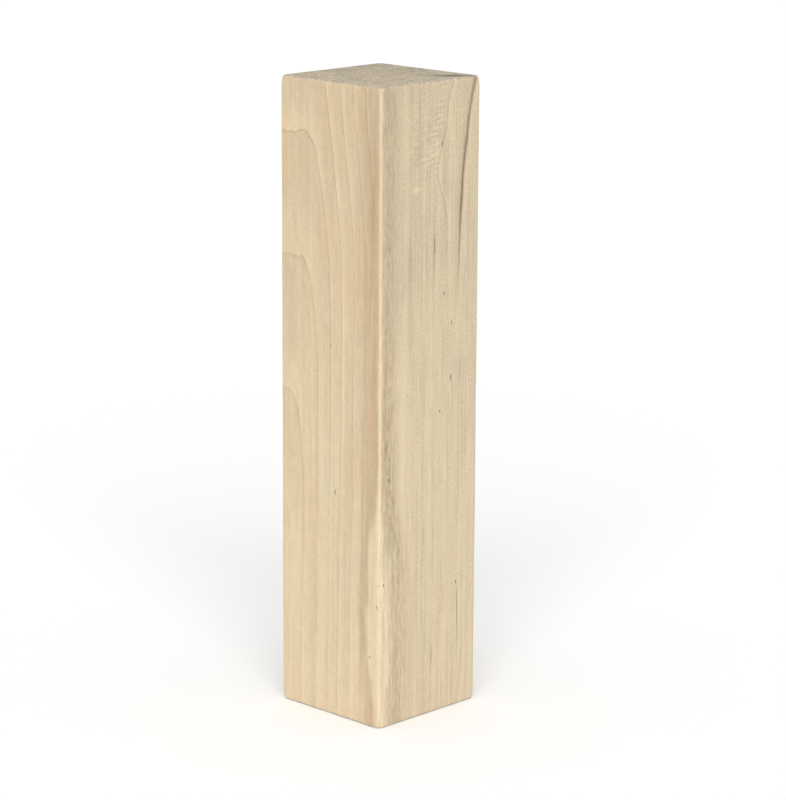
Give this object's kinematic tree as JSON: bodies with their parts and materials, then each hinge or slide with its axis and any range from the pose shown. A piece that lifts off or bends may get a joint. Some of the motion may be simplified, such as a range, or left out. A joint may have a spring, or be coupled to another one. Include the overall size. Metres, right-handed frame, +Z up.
{
  "type": "timber block",
  "caption": "Solid square-section hardwood block with lightly rounded arrises and eased sawn ends, for stacking by hand or standing on end.",
  "frame": {"origin": "middle of the lower sawn end, on the surface that the block stands on", "axes": "+Z up along the grain and the block's long axis, +X and +Y square to its long faces"},
  "size_m": [0.065, 0.065, 0.3],
  "materials": {
    "hardwood": "bare wood, finely sanded, matt, with long grain on the four sides and end grain on the sawn ends"
  },
  "bodies": {
    "root": {"timber_block": "hardwood"}
  },
  "joints": []
}
